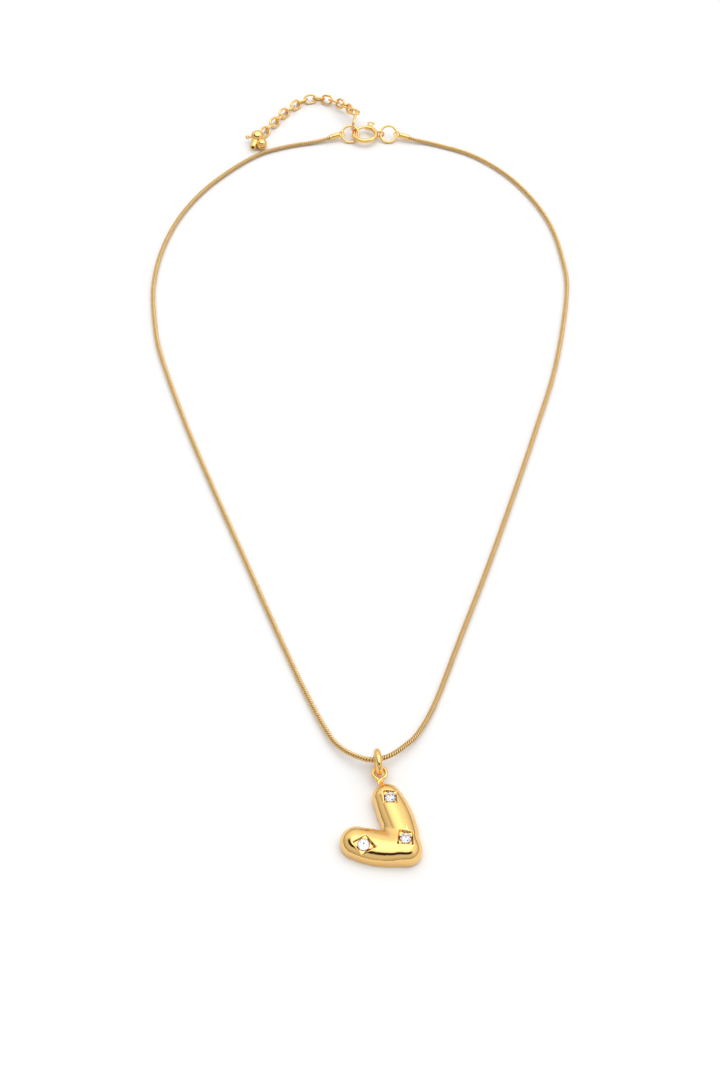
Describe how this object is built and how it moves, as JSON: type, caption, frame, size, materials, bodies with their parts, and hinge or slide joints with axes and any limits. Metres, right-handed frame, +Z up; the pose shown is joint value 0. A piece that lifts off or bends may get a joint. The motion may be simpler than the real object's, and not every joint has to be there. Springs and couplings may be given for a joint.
{
  "type": "pendant necklace",
  "caption": "Round snake chain necklace lying flat, with a puffed heart pendant set with round stones, a spring ring clasp and a cable extender ending in a ball drop.",
  "frame": {"origin": "centre of the puffed heart's flat back, on the table, where the two lobes join", "axes": "+Y along the necklace from the pendant towards the clasp, +Z up from the table, +X to the right seen from the pendant"},
  "size_m": [0.0858, 0.1977, 0.0046],
  "materials": {
    "gold": "mirror polished gold plate",
    "chain_gold": "satin gold plate with fine scales",
    "stone": "brilliant cut, clear",
    "spring_steel": "drawn wire"
  },
  "bodies": {
    "chain": {"snake_chain": "chain_gold", "end_cap_left": "gold", "end_cap_right": "gold"},
    "bail": {"bail_ring": "gold"},
    "pendant": {"heart_body": "gold", "heart_loop": "gold", "stone_upper": "stone", "stone_tip": "stone", "stone_left": "stone"},
    "left_ring": {"end_ring_left": "gold"},
    "right_ring": {"end_ring_right": "gold"},
    "clasp": {"clasp_body": "gold", "clasp_eye": "gold", "clasp_spring": "spring_steel"},
    "trigger": {"clasp_trigger": "gold"},
    "connector": {"connector_ring": "gold"},
    "link_01": {"extender_link_01": "gold"},
    "link_02": {"extender_link_02": "gold"},
    "link_03": {"extender_link_03": "gold"},
    "link_04": {"extender_link_04": "gold"},
    "link_05": {"extender_link_05": "gold"},
    "link_06": {"extender_link_06": "gold"},
    "link_07": {"extender_link_07": "gold"},
    "link_08": {"extender_link_08": "gold"},
    "link_09": {"extender_link_09": "gold"},
    "link_10": {"extender_link_10": "gold"},
    "link_11": {"extender_link_11": "gold"},
    "link_12": {"extender_link_12": "gold"},
    "link_13": {"extender_link_13": "gold"},
    "link_14": {"extender_link_14": "gold"},
    "link_15": {"extender_link_15": "gold"},
    "drop_link": {"drop_link": "gold"},
    "drop": {"drop_ball": "gold", "drop_bead": "gold", "drop_tube": "gold", "drop_pin": "gold"}
  },
  "joints": [
    {"name": "bail_swing", "type": "hinge", "parent": "chain", "child": "bail", "pos_m": [-0.0024, 0.0135, 0.00217], "axis": [0.9912, 0.1322, 0], "range_deg": [-75, 75]},
    {"name": "heart_swing", "type": "hinge", "parent": "bail", "child": "pendant", "pos_m": [-0.00223, 0.01224, 0.0017], "axis": [0.9912, 0.1322, 0], "range_deg": [-15, 30]},
    {"name": "left_ring_tilt", "type": "hinge", "parent": "chain", "child": "left_ring", "pos_m": [-0.00739, 0.17831, 0.00141], "axis": [0.9999, -0.0091, -0.005], "range_deg": [0, 25]},
    {"name": "right_ring_tilt", "type": "hinge", "parent": "chain", "child": "right_ring", "pos_m": [0.00122, 0.1783, 0.0014], "axis": [1, 0.0014, -0.0005], "range_deg": [-25, 0]},
    {"name": "clasp_tilt", "type": "hinge", "parent": "right_ring", "child": "clasp", "pos_m": [-0.0041, 0.1783, 0.0014], "axis": [1, 0, 0], "range_deg": [-10, 0]},
    {"name": "trigger_pull", "type": "hinge", "parent": "clasp", "child": "trigger", "pos_m": [-0.0041, 0.1783, 0.0014], "axis": [0, 0, 1], "range_deg": [-48, 0], "stiffness_Nm_per_rad": 0.00002, "springref_deg": 17.19, "deforming": ["clasp_spring"]},
    {"name": "connector_swing", "type": "hinge", "parent": "left_ring", "child": "connector", "pos_m": [-0.00685, 0.17976, 0.00246], "axis": [-0.9584, 0.2317, 0.1669], "range_deg": [-25, 10]},
    {"name": "link_01_swing", "type": "hinge", "parent": "connector", "child": "link_01", "pos_m": [-0.00615, 0.18376, 0.00316], "axis": [0.2097, -0.2045, 0.9561], "range_deg": [-35, 0]},
    {"name": "link_02_swing", "type": "hinge", "parent": "link_01", "child": "link_02", "pos_m": [-0.00722, 0.1853, 0.00287], "axis": [-0.8276, -0.5547, 0.086], "range_deg": [-35, 5]},
    {"name": "link_03_swing", "type": "hinge", "parent": "link_02", "child": "link_03", "pos_m": [-0.0082, 0.18701, 0.00239], "axis": [0.1582, 0.342, 0.9263], "range_deg": [-35, 0]},
    {"name": "link_04_swing", "type": "hinge", "parent": "link_03", "child": "link_04", "pos_m": [-0.00923, 0.18868, 0.00191], "axis": [0.8116, 0.3991, -0.4267], "range_deg": [0, 35]},
    {"name": "link_05_swing", "type": "hinge", "parent": "link_04", "child": "link_05", "pos_m": [-0.01051, 0.19019, 0.00151], "axis": [-0.3244, -0.4864, -0.8113], "range_deg": [0, 35]},
    {"name": "link_06_swing", "type": "hinge", "parent": "link_05", "child": "link_06", "pos_m": [-0.01209, 0.19141, 0.00115], "axis": [-0.5631, -0.5316, 0.6327], "range_deg": [-35, 0]},
    {"name": "link_07_swing", "type": "hinge", "parent": "link_06", "child": "link_07", "pos_m": [-0.01394, 0.19224, 0.00093], "axis": [0.2441, 0.6686, 0.7024], "range_deg": [-35, 0]},
    {"name": "link_08_swing", "type": "hinge", "parent": "link_07", "child": "link_08", "pos_m": [-0.01597, 0.19246, 0.00087], "axis": [0.1077, 0.6994, -0.7066], "range_deg": [0, 35]},
    {"name": "link_09_swing", "type": "hinge", "parent": "link_08", "child": "link_09", "pos_m": [-0.01794, 0.19181, 0.0009], "axis": [0.1775, -0.6845, -0.7071], "range_deg": [-35, 35]},
    {"name": "link_10_swing", "type": "hinge", "parent": "link_09", "child": "link_10", "pos_m": [-0.01956, 0.19054, 0.00091], "axis": [0.4075, -0.5778, 0.7071], "range_deg": [-35, 0]},
    {"name": "link_11_swing", "type": "hinge", "parent": "link_10", "child": "link_11", "pos_m": [-0.02079, 0.1889, 0.00091], "axis": [-0.5353, 0.462, 0.7071], "range_deg": [-35, 35]},
    {"name": "link_12_swing", "type": "hinge", "parent": "link_11", "child": "link_12", "pos_m": [-0.02211, 0.18737, 0.00091], "axis": [-0.5346, 0.4629, -0.7071], "range_deg": [0, 35]},
    {"name": "link_13_swing", "type": "hinge", "parent": "link_12", "child": "link_13", "pos_m": [-0.02329, 0.18573, 0.00091], "axis": [0.5744, -0.4124, -0.7071], "range_deg": [-35, 35]},
    {"name": "link_14_swing", "type": "hinge", "parent": "link_13", "child": "link_14", "pos_m": [-0.02412, 0.18388, 0.00091], "axis": [0.63, -0.3211, 0.7071], "range_deg": [-35, 0]},
    {"name": "link_15_swing", "type": "hinge", "parent": "link_14", "child": "link_15", "pos_m": [-0.02525, 0.1822, 0.00091], "axis": [-0.5922, 0.3864, 0.7071], "range_deg": [-35, 35]},
    {"name": "drop_link_swing", "type": "hinge", "parent": "link_15", "child": "drop_link", "pos_m": [-0.02635, 0.18051, 0.00091], "axis": [-0.6083, 0.3605, -0.7071], "range_deg": [-10, 35]},
    {"name": "drop_swing", "type": "hinge", "parent": "drop_link", "child": "drop", "pos_m": [-0.02723, 0.17869, 0.00091], "axis": [0.6213, -0.3376, -0.7071], "range_deg": [-35, 35]}
  ]
}
